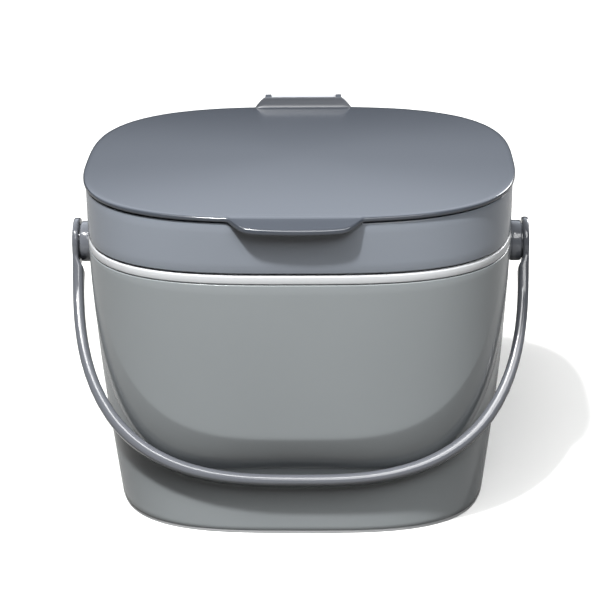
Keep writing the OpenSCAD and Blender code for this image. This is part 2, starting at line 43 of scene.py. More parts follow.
ringPoints = 256     # points round each level ring


# small maths

def mix(low, high, share):
    return low + (high - low) * share


def ease(share):
    share = min(1, max(0, share))
    return share * share * (3 - 2 * share)


def outlinePoint(halfX, halfY, square, turn):  # a rounded rectangle, seen from above
    reach = (abs(cos(turn) / halfX) ** square + abs(sin(turn) / halfY) ** square) ** (-1 / square)
    return reach * cos(turn), reach * sin(turn)


def arcSteps(first, last, count):
    return [mix(first, last, step / (count - 1)) for step in range(count)]


# mesh helpers: every piece is shaped in millimetres and turned into metres at the end

def growSections(points, steps, place, closed=False):
    # one loop of points, extruded step by step; place(step, index) says where each point goes
    mesh = bmesh.new()
    bmesh.ops.create_circle(mesh, segments=points, radius=1)
    spoke = mesh.verts.layers.int.new("spoke")
    for vert in mesh.verts:
        vert[spoke] = round(atan2(vert.co.y, vert.co.x) / (2 * pi) * points) % points
        vert.co = place(0, vert[spoke])
    firstEdges = list(mesh.edges)
    edges = firstEdges
    for step in range(1, steps):
        grown = bmesh.ops.extrude_edge_only(mesh, edges=edges)["geom"]
        verts = {item for item in grown if isinstance(item, bmesh.types.BMVert)}
        edges = [item for item in grown if isinstance(item, bmesh.types.BMEdge)
                 and item.verts[0] in verts and item.verts[1] in verts]
        for vert in verts:
            vert.co = place(step, vert[spoke])
    if not closed:
        bmesh.ops.contextual_create(mesh, geom=firstEdges)
        bmesh.ops.contextual_create(mesh, geom=edges)
    return mesh


def growRings(rings, closed=False):  # rings are (halfX, halfY, square, z)
    if closed:
        rings = rings + rings[:1]

    def place(step, index):
        halfX, halfY, square, z = rings[step]
        x, y = outlinePoint(halfX, halfY, square, 2 * pi * index / ringPoints)
        return Vector((x, y, z))

    return growSections(ringPoints, len(rings), place, closed)


def spinProfile(profile, points, centre=(0, 0, 0), closed=True):
    # (x, radius) pairs turned round an axis along X
    if closed:
        profile = profile + profile[:1]

    def place(step, index):
        x, radius = profile[step]
        turn = 2 * pi * index / points
        return Vector((centre[0] + x, centre[1] + radius * cos(turn), centre[2] + radius * sin(turn)))

    return growSections(points, len(profile), place, closed)


def addTo(mesh, other):  # joins another bmesh into the first one
    loose = bpy.data.meshes.new("loose")
    other.to_mesh(loose)
    other.free()
    mesh.from_mesh(loose)
    bpy.data.meshes.remove(loose)


def softBox(low, high, edge, segments=3):
    mesh = bmesh.new()
    bmesh.ops.create_cube(mesh, size=1)
    for vert in mesh.verts:
        vert.co = Vector([mix(low[axis], high[axis], vert.co[axis] + 0.5) for axis in range(3)])
    bmesh.ops.bevel(mesh, geom=list(mesh.edges), offset=edge, offset_type="OFFSET", affect="EDGES",
                    segments=segments, profile=0.5, material=-1)
    return mesh


def mirrored(mesh):
    bmesh.ops.scale(mesh, vec=(-1, 1, 1), verts=mesh.verts)
    bmesh.ops.recalc_face_normals(mesh, faces=mesh.faces)
    return mesh


def finishPiece(name, mesh, body, material, stands, sharp=40):
    bmesh.ops.remove_doubles(mesh, verts=mesh.verts, dist=mergeGap)
    bmesh.ops.scale(mesh, vec=(millimetre,) * 3, verts=mesh.verts)
    bmesh.ops.recalc_face_normals(mesh, faces=mesh.faces)
    data = bpy.data.meshes.new(name)
    mesh.to_mesh(data)
    mesh.free()
    data.shade_smooth()
    data.set_sharp_from_angle(angle=radians(sharp))
    data.materials.append(material)
    piece = bpy.data.objects.new(name, data)
    scene.collection.objects.link(piece)
    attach(piece, body)
    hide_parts(*stands)
    print("made", name, len(data.polygons), "faces")
    return piece


# materials

def newGroup(name, inputs, outputs):
    group = bpy.data.node_groups.new(name, "ShaderNodeTree")
    for label, value in inputs.items():
        socket = group.interface.new_socket(label, in_out="INPUT", socket_type="NodeSocketFloat")
        socket.default_value = value
    for label in outputs:
        group.interface.new_socket(label, in_out="OUTPUT", socket_type="NodeSocketFloat")
    return group, group.nodes.new("NodeGroupInput"), group.nodes.new("NodeGroupOutput")


def mathNode(tree, operation, first, second=None, third=None):
    node = tree.nodes.new("ShaderNodeMath")
    node.operation = operation
    for slotIndex, value in enumerate((first, second, third)):
        if value is None:
            continue
        if isinstance(value, bpy.types.NodeSocket):
            tree.links.new(value, node.inputs[slotIndex])
        else:
            node.inputs[slotIndex].default_value = value
    return node.outputs[0]


def noiseNode(tree, vector, scale, detail=2.0, roughness=0.5):
    node = tree.nodes.new("ShaderNodeTexNoise")
    tree.links.new(vector, node.inputs["Vector"])
    if isinstance(scale, bpy.types.NodeSocket):
        tree.links.new(scale, node.inputs["Scale"])
    else:
        node.inputs["Scale"].default_value = scale
    node.inputs["Detail"].default_value = detail
    node.inputs["Roughness"].default_value = roughness
    return node.outputs["Fac"]


skinLook = {"waveScale": 38.0, "mottleScale": 14.0}


def makeMouldedSkin():  # the fine grain and slow waviness of moulded plastic
    inputs = {"Grain Scale": 1800.0, "Grain Depth": 0.3, "Wave Depth": 0.3}
    group, start, end = newGroup("mouldedSkin", inputs, ["Height", "Mottle"])
    place = group.nodes.new("ShaderNodeTexCoord").outputs["Object"]
    grain = noiseNode(group, place, start.outputs["Grain Scale"], 3.0, 0.6)
    wave = noiseNode(group, place, skinLook["waveScale"], 1.0, 0.4)
    height = mathNode(group, "MULTIPLY_ADD", grain, start.outputs["Grain Depth"],
                      mathNode(group, "MULTIPLY", wave, start.outputs["Wave Depth"]))
    group.links.new(height, end.inputs["Height"])
    group.links.new(noiseNode(group, place, skinLook["mottleScale"], 4.0, 0.6), end.inputs["Mottle"])
    return group


marksLook = {
    "stretch": (1.0, 1.0, 0.35), "turn": (0.3, 0.2, 0.6), "smearScale": 26.0,
    "speckScale": 420.0, "speckSize": 0.09, "patchScale": 55.0, "patchLevel": 0.56,
}


def makeHandlingMarks():  # wiped smears and a little dust
    inputs = {"Smear": 0.5, "Dust": 0.3}
    group, start, end = newGroup("handlingMarks", inputs, ["Roughening", "Lightening"])
    place = group.nodes.new("ShaderNodeTexCoord").outputs["Object"]
    stretch = group.nodes.new("ShaderNodeMapping")
    stretch.inputs["Scale"].default_value = marksLook["stretch"]
    stretch.inputs["Rotation"].default_value = marksLook["turn"]
    group.links.new(place, stretch.inputs["Vector"])
    wiped = noiseNode(group, stretch.outputs["Vector"], marksLook["smearScale"], 5.0, 0.65)
    smear = mathNode(group, "SUBTRACT", wiped, 0.5)
    specks = group.nodes.new("ShaderNodeTexVoronoi")
    specks.inputs["Scale"].default_value = marksLook["speckScale"]
    group.links.new(place, specks.inputs["Vector"])
    dust = mathNode(group, "LESS_THAN", specks.outputs["Distance"], marksLook["speckSize"])
    patchNoise = noiseNode(group, place, marksLook["patchScale"])
    patch = mathNode(group, "GREATER_THAN", patchNoise, marksLook["patchLevel"])
    dust = mathNode(group, "MULTIPLY", mathNode(group, "MULTIPLY", dust, patch), start.outputs["Dust"])
    roughening = mathNode(group, "MULTIPLY_ADD", smear, start.outputs["Smear"], dust)
    group.links.new(roughening, end.inputs["Roughening"])
    group.links.new(dust, end.inputs["Lightening"])
    return group


mouldedSkin = makeMouldedSkin()
handlingMarks = makeHandlingMarks()


def placeGroup(tree, group, values):
    node = tree.nodes.new("ShaderNodeGroup")
    node.node_tree = group
    for label, value in values.items():
        node.inputs[label].default_value = value
    return node


def makePlastic(name, look):
    material = bpy.data.materials.new(name)
    material.use_nodes = True
    tree = material.node_tree
    shader = tree.nodes["Principled BSDF"]
    skinInputs = {"Grain Scale": look["grainScale"], "Grain Depth": look["grainDepth"],
                  "Wave Depth": look["waveDepth"]}
    skin = placeGroup(tree, mouldedSkin, skinInputs)
    marks = placeGroup(tree, handlingMarks, {"Smear": look["smear"], "Dust": look["dust"]})
    tone = tree.nodes.new("ShaderNodeMix")
    tone.data_type = "RGBA"
    tone.inputs["A"].default_value = (*look["dark"], 1)
    tone.inputs["B"].default_value = (*look["light"], 1)
    tree.links.new(skin.outputs["Mottle"], tone.inputs["Factor"])
    dusty = tree.nodes.new("ShaderNodeMix")
    dusty.data_type = "RGBA"
    dusty.inputs["B"].default_value = (*look["dustColour"], 1)
    cover = mathNode(tree, "MULTIPLY", marks.outputs["Lightening"], look["dustCover"])
    tree.links.new(cover, dusty.inputs["Factor"])
    tree.links.new(tone.outputs["Result"], dusty.inputs["A"])
    tree.links.new(dusty.outputs["Result"], shader.inputs["Base Color"])
    rough = mathNode(tree, "MULTIPLY_ADD", marks.outputs["Roughening"], look["roughSpread"], look["rough"])
    rough = mathNode(tree, "MINIMUM", mathNode(tree, "MAXIMUM", rough, look["roughLeast"]), 1.0)
    tree.links.new(rough, shader.inputs["Roughness"])
    bump = tree.nodes.new("ShaderNodeBump")
    bump.inputs["Strength"].default_value = look["bump"]
    bump.inputs["Distance"].default_value = look["bumpDistance"]
    tree.links.new(skin.outputs["Height"], bump.inputs["Height"])
    tree.links.new(bump.outputs["Normal"], shader.inputs["Normal"])
    shader.inputs["IOR"].default_value = look["ior"]
    shader.inputs["Metallic"].default_value = look["metal"]
    return material


plasticBase = {
    "grainScale": 1500.0, "grainDepth": 0.5, "waveDepth": 0.6, "bump": 0.25, "bumpDistance": 0.0001,
    "smear": 0.25, "dust": 0.04, "dustColour": (0.62, 0.61, 0.58), "dustCover": 0.35,
    "rough": 0.2, "roughSpread": 0.12, "roughLeast": 0.02, "ior": 1.5, "metal": 0.0,
}


def vary(**changes):
    return {**plasticBase, **changes}


shellPlastic = makePlastic("shellPlastic", vary(dark=(0.196, 0.212, 0.218), light=(0.213, 0.230, 0.236)))
collarPlastic = makePlastic("collarPlastic", vary(dark=(0.173, 0.192, 0.220), light=(0.188, 0.208, 0.238)))
# the lid is given a tone several times darker than the shell's: painted shade, which keeps its top from
# showing the light that falls on it
lidPlastic = makePlastic("lidPlastic", vary(dark=(0.040, 0.046, 0.057), light=(0.046, 0.052, 0.064),
                                            rough=0.18, roughSpread=0.06, grainScale=2600.0,
                                            grainDepth=0.3, bump=0.06))
bucketPlastic = makePlastic("bucketPlastic", vary(dark=(0.47, 0.48, 0.49), light=(0.50, 0.51, 0.52),
                                                  rough=0.28))
handlePlastic = makePlastic("handlePlastic", vary(dark=(0.095, 0.100, 0.113), light=(0.108, 0.114, 0.128),
                                                  rough=0.11))
# the hinge block is darker still: painted shade on it; its plastic is also rougher
hingePlastic = makePlastic("hingePlastic", vary(dark=(0.020, 0.024, 0.032), light=(0.024, 0.028, 0.037),
                                                rough=0.38))
bossPlastic = makePlastic("bossPlastic", vary(dark=(0.115, 0.122, 0.138), light=(0.13, 0.137, 0.153),
                                              rough=0.14))
bracketPlastic = makePlastic("bracketPlastic", vary(dark=(0.36, 0.37, 0.39), light=(0.40, 0.41, 0.43),
                                                    rough=0.2))
sealRubber = makePlastic("sealRubber", vary(dark=(0.30, 0.31, 0.33), light=(0.34, 0.35, 0.37),
                                            rough=0.55, grainDepth=1.0))
footRubber = makePlastic("footRubber", vary(dark=(0.50, 0.51, 0.52), light=(0.56, 0.57, 0.58),
                                            rough=0.5))
turnedSteel = makePlastic("turnedSteel", vary(dark=(0.55, 0.55, 0.56), light=(0.64, 0.64, 0.65),
                                              rough=0.28, metal=1.0, grainScale=900.0, bump=0.15))
print("materials ready")

# outlines that several pieces share: half width, half depth

outline = {"rim": (115.8, 98.7), "rimSquare": 3.13, "lid": (117.4, 100.3), "lidSquare": 2.9}


def insideRim(inset):
    return outline["rim"][0] - inset, outline["rim"][1] - inset


def insideLid(inset):
    return outline["lid"][0] - inset, outline["lid"][1] - inset


# shell

shell = {
    "bottom": 1.9, "top": 150.7, "waist": 33.9, "halfX": (103.7, outline["rim"][0]),
    "halfY": (86.0, 84.0, outline["rim"][1]), "square": (3.3, outline["rimSquare"]),
    "swell": 2.0, "wall": 2.5, "lip": 0.5, "foot": 0.4, "innerHeights": (120.0, 80.0, 45.0, 20.0, 4.4),
    # the bowl's lower edge and its fold against the walls: half width, drop, squareness, centre height
    "edge": (114.7, 197.5, 3.55, 260.7), "fold": (116.8, 213.0, 4.05, 245.0),
    "foldLift": 6.0, "liftHalf": 85.0, "foldTop": 132.0, "edgeTop": 142.0, "leastUnder": 4.0,
    "edgeSoftness": 1.1, "underStart": 0.66, "underCurl": 4.0, "faceCrowding": 1.5,
    "skirtRows": 16, "underRows": 26, "faceRows": 24, "points": 320, "searchFrom": 80.0, "searchSteps": 30,
}


def shellShare(z):
    return (z - shell["bottom"]) / (shell["top"] - shell["bottom"])


def wallOutline(z):
    share = shellShare(z)
    foot, waist, rim = shell["halfY"]
    if z < shell["waist"]:
        halfY = mix(foot, waist, (z - shell["bottom"]) / (shell["waist"] - shell["bottom"]))
    else:
        halfY = mix(waist, rim, (z - shell["waist"]) / (shell["top"] - shell["waist"]))
    return mix(*shell["halfX"], share) + shell["swell"] * sin(pi * share), halfY, mix(*shell["square"], share)


def curveHeight(curve, x):
    halfX, drop, square, centre = curve
    return centre - drop * max(0, 1 - (abs(x) / halfX) ** square) ** (1 / square)


def edgeHeight(x):
    return curveHeight(shell["edge"], x)


def foldHeight(x):
    lift = shell["foldLift"] * max(0, 1 - (x / shell["liftHalf"]) ** 2) ** 2
    return curveHeight(shell["fold"], x) + lift


def rimDepth(x):
    halfX, halfY, square = shell["halfX"][1], shell["halfY"][2], shell["square"][1]
    return halfY * max(0, 1 - (abs(x) / halfX) ** square) ** (1 / square)


def shellPoint(turn, z):
    x, y = outlinePoint(*wallOutline(z), turn)
    proud = rimDepth(x) - abs(y)
    if proud > 0:
        drop = edgeHeight(x) - z
        drop = 0.5 * (drop + sqrt(drop * drop + shell["edgeSoftness"] ** 2))
        share = min(1, drop / (edgeHeight(x) - foldHeight(x)))
        start = shell["underStart"]
        kept = 1 - (start * share + (1 - start) * share ** shell["underCurl"])
        y = (abs(y) + proud * kept) * (1 if y > 0 else -1)
    return x, y


def columnHeights(turn):  # heights at which a column crosses the fold and the edge
    found = []
    for height in (foldHeight, edgeHeight):
        z = shell["searchFrom"]
        for _ in range(shell["searchSteps"]):
            x = outlinePoint(*wallOutline(min(z, shell["top"])), turn)[0]
            z = mix(z, min(height(x), shell["top"]), 0.6)
        found.append(z)
    fold = min(found[0], shell["foldTop"])
    return fold, min(max(found[1], fold + shell["leastUnder"]), shell["edgeTop"])


def makeShell():
    points = shell["points"]
    columns = [columnHeights(2 * pi * index / points) for index in range(points)]
    base, top = shell["bottom"] + shell["foot"], shell["top"]
    rows = [("foot", 0)] + [("skirt", step / shell["skirtRows"]) for step in range(shell["skirtRows"])]
    rows += [("under", step / shell["underRows"]) for step in range(shell["underRows"])]
    faceRows = shell["faceRows"]
    rows += [("face", (step / faceRows) ** shell["faceCrowding"]) for step in range(faceRows + 1)]
    rows += [("lip", turn) for turn in arcSteps(0, pi / 2, 4)[1:]]
    rows += [("inner", height) for height in (top, *shell["innerHeights"])]

    def place(step, index):
        kind, value = rows[step]
        turn = 2 * pi * index / points
        fold, edge = columns[index]
        if kind == "foot":
            x, y = shellPoint(turn, shell["bottom"])
            halfX, halfY, foot = shell["halfX"][0], shell["halfY"][0], shell["foot"]
            return Vector((x * (1 - foot / halfX), y * (1 - foot / halfY), shell["bottom"]))
        if kind == "lip":
            x, y = shellPoint(turn, top)
            halfX, halfY = wallOutline(top)[:2]
            inset = shell["lip"] * (1 - cos(value))
            z = top - shell["lip"] * (1 - sin(value))
            return Vector((x * (1 - inset / halfX), y * (1 - inset / halfY), z))
        if kind == "inner":
            x, y = shellPoint(turn, value)
            halfX, halfY = wallOutline(value)[:2]
            return Vector((x * (1 - shell["wall"] / halfX), y * (1 - shell["wall"] / halfY), value))
        if kind == "skirt":
            z = mix(base, fold, value)
        elif kind == "under":
            z = mix(fold, edge, ease(value) * 0.5 + value * 0.5)
        else:
            z = mix(edge, top - shell["lip"], value)
        x, y = shellPoint(turn, z)
        return Vector((x, y, z))

    return growSections(points, len(rows), place)


finishPiece("outerShell", makeShell(), "bin", shellPlastic, ["outer_shell"], sharp=50)

# foot ring

footRing = {"halfX": 103.3, "halfY": 85.6, "square": 3.3, "width": 7.0, "top": 1.9,
            "edge": 0.5, "edgeMiddle": 0.15, "backEdge": 0.4}


def footRings():
    def ring(inset, z):
        return footRing["halfX"] - inset, footRing["halfY"] - inset, footRing["square"], z

    top, width, edge = footRing["top"], footRing["width"], footRing["edge"]
    middle, backEdge = footRing["edgeMiddle"], footRing["backEdge"]
    return [ring(edge, 0), ring(middle, middle), ring(0, edge), ring(0, top),
            ring(width, top), ring(width, backEdge), ring(width - backEdge, 0)]


finishPiece("footRing", growRings(footRings(), closed=True), "bin", footRubber, ["foot_ring"])

# bucket

bucket = {
    "rim": outline["rim"], "top": insideRim(5.5), "square": outline["rimSquare"],
    "floor": (99.5, 77.7), "bottom": 9.4, "rimBottom": 150.7, "rimTop": 155.8, "rimGap": 0.3,
    "wall": 2.0, "round": 26.0, "roundShare": 0.8, "edge": 0.9, "edgeFlat": 0.9, "mouthEdge": 0.5,
}


def bucketHalf(z):
    share = (z - bucket["bottom"]) / (bucket["rimBottom"] - bucket["bottom"])
    under = max(0, bucket["round"] - (z - bucket["bottom"]))
    tuck = bucket["roundShare"] * (bucket["round"] - sqrt(max(0, bucket["round"] ** 2 - under ** 2)))
    return [mix(low, high, share) - tuck for low, high in zip(bucket["floor"], bucket["top"])]


def bucketRings():
    square, wall, edge = bucket["square"], bucket["wall"], bucket["edge"]
    heights = [bucket["bottom"] + bucket["round"] * (1 - cos(turn)) for turn in arcSteps(0, pi / 2, 12)]
    heights += arcSteps(bucket["bottom"] + bucket["round"], bucket["rimBottom"], 10)[1:]
    rings = [(*bucketHalf(z), square, z) for z in heights]
    rimX, rimY = bucket["rim"]
    for turn in arcSteps(0, pi / 2, 4):
        rings.append((rimX - edge * (1 - sin(turn)), rimY - edge * (1 - sin(turn)), square,
                      bucket["rimBottom"] + bucket["rimGap"] + edge * (1 - cos(turn)) * bucket["edgeFlat"]))
    for turn in arcSteps(0, pi / 2, 4):
        rings.append((rimX - edge * (1 - cos(turn)), rimY - edge * (1 - cos(turn)), square,
                      bucket["rimTop"] - edge * (1 - sin(turn))))
    topX, topY = bucket["top"]
    mouthEdge = bucket["mouthEdge"]
    rings.append((topX - wall + mouthEdge, topY - wall + mouthEdge, square, bucket["rimTop"]))
    rings.append((topX - wall, topY - wall, square, bucket["rimTop"] - mouthEdge))
    for z in reversed(heights):
        halfX, halfY = bucketHalf(z)
        share = (z - bucket["bottom"]) / (bucket["rimBottom"] - bucket["bottom"])
        rings.append((halfX - wall, halfY - wall, square, z + wall * (1 - share)))
    return rings


finishPiece("innerBucket", growRings(bucketRings()), "bin", bucketPlastic, ["inner_bucket"])

# collar

collar = {
    "rim": outline["rim"], "top": insideLid(1.1), "square": (outline["rimSquare"], outline["lidSquare"]),
    "bottom": 157.0, "height": 27.3, "wall": 2.4, "web": 2.2, "edge": 0.6, "mouthEdge": 0.4, "cove": 1.5,
    "lip": insideRim(9.5), "lipWall": 2.0, "lipLength": 9.0, "lipFlare": 0.6, "lipTaper": 1.0,
    "seat": ((-18.9, 97.5, 163.0), (18.9, 100.3, 181.3)), "seatEdge": 0.4,
}


def collarRings():
    bottom, top = collar["bottom"], collar["bottom"] + collar["height"]
    low, high = collar["square"]

    def outer(inset, z):
        share = (z - bottom) / collar["height"]
        return (mix(collar["rim"][0], collar["top"][0], share) - inset,
                mix(collar["rim"][1], collar["top"][1], share) - inset, mix(low, high, share), z)

    def lip(inset, z):
        return collar["lip"][0] - inset, collar["lip"][1] - inset, low, z

    edge, wall, web, lipWall = collar["edge"], collar["wall"], collar["web"], collar["lipWall"]
    lipBottom = bottom - collar["lipLength"]
    corner = arcSteps(0, pi / 2, 4)
    rings = [outer(edge * (1 - sin(turn)), bottom + edge * (1 - cos(turn))) for turn in corner]
    rings += [outer(0, z) for z in arcSteps(bottom + edge, top - edge, 6)[1:-1]]
    rings += [outer(edge * (1 - cos(turn)), top - edge * (1 - sin(turn))) for turn in corner]
    mouthEdge, cove, flare = collar["mouthEdge"], collar["cove"], collar["lipFlare"]
    rings += [outer(wall - mouthEdge, top), outer(wall, top - mouthEdge)]
    rings += [outer(wall, bottom + web + cove), outer(wall + cove, bottom + web)]
    rings += [lip(lipWall - flare, bottom + web), lip(lipWall, bottom + web - flare)]
    rings += [lip(lipWall + flare, lipBottom + 0.4), lip(lipWall + 0.2, lipBottom)]
    rings += [lip(collar["lipTaper"], lipBottom), lip(flare, lipBottom + 0.5), lip(0, bottom)]
    return rings


collarMesh = growRings(collarRings(), closed=True)
addTo(collarMesh, softBox(*collar["seat"], collar["seatEdge"]))
finishPiece("lidCollar", collarMesh, "collar", collarPlastic, ["lid_collar"])

# lid

lid = {
    "half": outline["lid"], "square": outline["lidSquare"], "rimTop": 187.7, "bottom": 185.5, "crown": 2.6,
    "topEdge": 0.9, "lowEdge": 0.5, "rimLift": 0.1, "points": 360, "turnGap": 0.002,
    "rib": 5.5, "ribBottom": 176.5, "ribWall": 2.0, "ribEdge": 0.4, "ribRise": 0.5,
    "crownShares": (0.04, 0.12, 0.24, 0.38, 0.52, 0.64, 0.74, 0.82, 0.88),
    "rimInsets": (10.0, 7.5, 5.5, 4.0, 3.0),
    "underRows": ((1.0, 0.75), (1.5, 0.5), (2.0, 0.25), (3.0, 0), (4.0, 0)),  # inset, share of the reach
}
tab = {
    "width": 69.4, "reach": 8.2, "bow": 1.1, "corner": 3.2, "slope": 0.488, "root": 0.8, "blend": 1.5,
    "rowShares": (0, 0.04, 0.3, 0.6, 0.9), "rowInset": 2.2, "insetStep": 0.3, "heightStep": 0.02,
    "rootInset": 0.35, "rowDrop": 0.1, "noseExtra": 0.2, "noseInset": 0.5,
    "cornerSpan": (23.5, 38.5), "cornerSteps": 44, "flatBeyond": -8,
}


def tabEdge(x):  # how far the tab's outline stands out past the rim
    front = tab["reach"] - tab["bow"] * (2 * x / tab["width"]) ** 2
    side = tab["width"] / 2 - abs(x)
    edge = (front + side - sqrt((front - side) ** 2 + tab["corner"] ** 2)) / 2
    return 0.5 * (edge + sqrt(edge * edge + tab["root"] ** 2)) if edge > tab["flatBeyond"] else 0


def lidTurns():  # even steps round the rim, with close ones at the tab's corners
    halfX, halfY = lid["half"]

    def turnAt(x):
        return atan2(-halfY * (1 - (abs(x) / halfX) ** lid["square"]) ** (1 / lid["square"]), x) % (2 * pi)

    near = arcSteps(*tab["cornerSpan"], tab["cornerSteps"])
    gap = lid["turnGap"]
    turns = [turnAt(side * x) for side in (-1, 1) for x in near]
    spans = [sorted((turnAt(side * near[0]), turnAt(side * near[-1]))) for side in (-1, 1)]
    for step in range(lid["points"]):
        turn = 2 * pi * step / lid["points"]
        if not any(low - gap < turn < high + gap for low, high in spans):
            turns.append(turn)
    return sorted(turns)


def lidRows():
    # a rim row holds inset, height, share of the tab's reach, then the inset and drop on the tab
    top, bottom, slope, nose = lid["rimTop"], lid["bottom"], tab["slope"], tab["noseExtra"]
    lifted = top + lid["rimLift"]
    rows = [("crown", share) for share in lid["crownShares"]]
    rows += [("rim", inset, lifted, 0, inset, 0) for inset in lid["rimInsets"]]
    for step, share in enumerate(tab["rowShares"]):
        inset, height = tab["rowInset"] - tab["insetStep"] * step, lifted - tab["heightStep"] * step
        tabInset = tab["rootInset"] if share == 0 else 0
        rows.append(("rim", inset, height, share, tabInset, tab["rowDrop"]))
    edge = lid["topEdge"]
    for turn in arcSteps(0, pi / 2, 6):
        inset = edge * (1 - sin(turn))
        rows.append(("rim", inset, top - edge * (1 - cos(turn)), 1, inset, -slope * inset))
    edge = lid["lowEdge"]
    for turn in arcSteps(0, pi / 2, 4):
        inset = edge * (1 - cos(turn))
        rows.append(("rim", inset, bottom + edge * (1 - sin(turn)), 1, inset, nose))
    for inset, share in lid["underRows"]:
        rows.append(("rim", inset, bottom, share, inset if share == 0 else tab["noseInset"], nose * share))
    rib, ribBottom, far = lid["rib"], lid["ribBottom"], lid["rib"] + lid["ribWall"]
    edge, rise = lid["ribEdge"], lid["ribRise"]
    rows += [("rib", rib, bottom), ("rib", rib, ribBottom + rise), ("rib", rib + edge, ribBottom)]
    rows += [("rib", far - edge, ribBottom), ("rib", far, ribBottom + rise), ("rib", far, bottom)]
    return rows


def makeLid():
    rows, turns = lidRows(), lidTurns()
    halfX, halfY = lid["half"]

    def place(step, index):
        kind, value = rows[step][:2]
        turn = turns[index]
        if kind == "crown":
            x, y = outlinePoint(halfX * value, halfY * value, lid["square"], turn)
            return Vector((x, y, lid["rimTop"] + lid["rimLift"] + lid["crown"] * (1 - value ** 2)))
        if kind == "rib":
            x, y = outlinePoint(halfX - value, halfY - value, lid["square"], turn)
            return Vector((x, y, rows[step][2]))
        height, share, tabInset, drop = rows[step][2:]
        edgeX, edgeY = outlinePoint(halfX, halfY, lid["square"], turn)
        reach = tabEdge(edgeX) if edgeY < 0 else 0
        near = min(1, reach / tab["blend"])
        inset = mix(value, tabInset, near)
        x, y = outlinePoint(halfX - inset, halfY - inset, lid["square"], turn)
        outwards = abs(x / edgeX) if abs(edgeX) > 1 else abs(y / edgeY)
        rise = lid["crown"] * (1 - min(1, outwards) ** 2)
        z = height + (rise if height > lid["rimTop"] - 1 else 0) - near * drop
        return Vector((mix(x, edgeX, near * share), y - reach * share, z - tab["slope"] * reach * share))

    return growSections(len(turns), len(rows), place)


hingeBlock = {
    "axis": (105.6, 190.1), "front": 96.5, "crest": 98.7, "back": 100.1, "foot": 186.0, "top": 193.7,
    "crestHalf": 22.8, "baseHalf": 28.6, "slope": 1.35, "edge": 0.45, "least": 0.02, "crestTurn": 0.3,
    "fillet": 0.9, "filletHeight": 1.1, "flatStations": (0, 12.0, 20.0, 22.0), "slopeStations": 14,
    "faceShares": (0, 0.03, 0.08, 0.16, 0.4, 0.7, 0.94), "cornerSteps": 4,
    "ear": (19.2, 22.8), "earRadius": 3.5, "earRoot": 0.6, "earSteps": 31,
    "earNear": ((0, 0.4), (0.12, 0.12), (0.4, 0)), "earFar": ((0.5, 0), (0.15, 0.15), (0, 0.5)),
}


def makeHingeBlock():
    look = hingeBlock
    stations = [*look["flatStations"], *arcSteps(look["crestHalf"], look["baseHalf"], look["slopeStations"])]
    stations = [-x for x in reversed(stations[1:])] + stations
    base = lid["rimTop"]
    full = look["top"] - base
    shares, steps, back = look["faceShares"], look["cornerSteps"], look["back"]

    def filletAt(share):
        return look["fillet"] * max(0, 1 - share * full / look["filletHeight"]) ** 2

    def place(step, index):
        x = stations[step]
        beyond = max(0, abs(x) - look["crestHalf"]) / (look["baseHalf"] - look["crestHalf"])
        height = max(look["least"], full * (1 - beyond ** look["slope"]))
        crest = mix(look["front"], look["crest"], height / full)
        edge = min(look["edge"], height / 3)
        top = base + height
        profile = [(mix(look["front"], crest, share) - filletAt(share), base + share * (height - edge))
                   for share in shares]
        for turn in arcSteps(look["crestTurn"], pi / 2, steps):
            profile.append((crest + edge * (1 - cos(turn)), top - edge * (1 - sin(turn))))
        for turn in arcSteps(0, pi / 2, steps):
            profile.append((back - edge * (1 - sin(turn)), top - edge * (1 - cos(turn))))
        profile += [(back, look["foot"]), (look["front"], look["foot"])]
        return Vector((x, *profile[index]))

    block = growSections(len(shares) + 2 * steps + 2, len(stations), place)
    axisY, axisZ = look["axis"]
    near, far = look["ear"]
    slices = [(near + along, inset) for along, inset in look["earNear"]]
    slices += [(far - along, inset) for along, inset in look["earFar"]]
    arc = look["earSteps"]

    def placeEar(step, index):
        x, inset = slices[step]
        radius = look["earRadius"] - inset
        if index >= arc:
            return Vector((x, look["crest"] + look["earRoot"], axisZ + radius * (1 if index == arc else -1)))
        turn = mix(-pi / 2, pi / 2, index / (arc - 1))
        return Vector((x, axisY + radius * cos(turn), axisZ + radius * sin(turn)))

    for side in (-1, 1):
        ear = growSections(arc + 2, len(slices), placeEar)
        addTo(block, ear if side > 0 else mirrored(ear))
    for face in block.faces:
        face.material_index = 1  # painted shade: the hinge block's darker, duller plastic
    return block


lidMesh = makeLid()
addTo(lidMesh, makeHingeBlock())
lidCover = finishPiece("lidCover", lidMesh, "lid", lidPlastic, ["lid_cover"])
lidCover.data.materials.append(hingePlastic)

panel = {"inset": 7.6, "edge": 0.5, "bottom": 180.5, "edgeTop": 180.8, "top": 182.1}
panelRings = [(*insideLid(panel["inset"] + inset), lid["square"], panel[level])
              for inset, level in ((panel["edge"], "bottom"), (0, "edgeTop"), (0, "top"))]
finishPiece("lidInnerPanel", growRings(panelRings), "lid", bucketPlastic,
            ["lid_inner_panel"])

lidSeal = {"outer": insideLid(4.1), "inner": insideLid(5.5), "square": lid["square"],
           "low": 178.5, "high": 181.5}
collarSeal = {"outer": insideRim(8.1), "inner": insideRim(9.5), "square": bucket["square"],
              "low": 152.7, "high": 156.7}
sealEdge, sealWaist = 0.5, 0.35


def makeSeal(look):
    def ring(inset, z):
        return look["outer"][0] - inset, look["outer"][1] - inset, look["square"], z

    low, high = look["low"], look["high"]
    rings = [(*look["inner"], look["square"], low), ring(sealEdge, low), ring(0, low + sealEdge)]
    rings += [ring(sealWaist, (low + high) / 2), ring(0, high - sealEdge), ring(sealEdge, high)]
    return growRings(rings + [(*look["inner"], look["square"], high)], closed=True)


finishPiece("lidSeal", makeSeal(lidSeal), "lid", sealRubber, ["lid_seal"])
finishPiece("collarSeal", makeSeal(collarSeal), "collar", sealRubber, ["collar_seal"])

# hinge bracket and its hardware

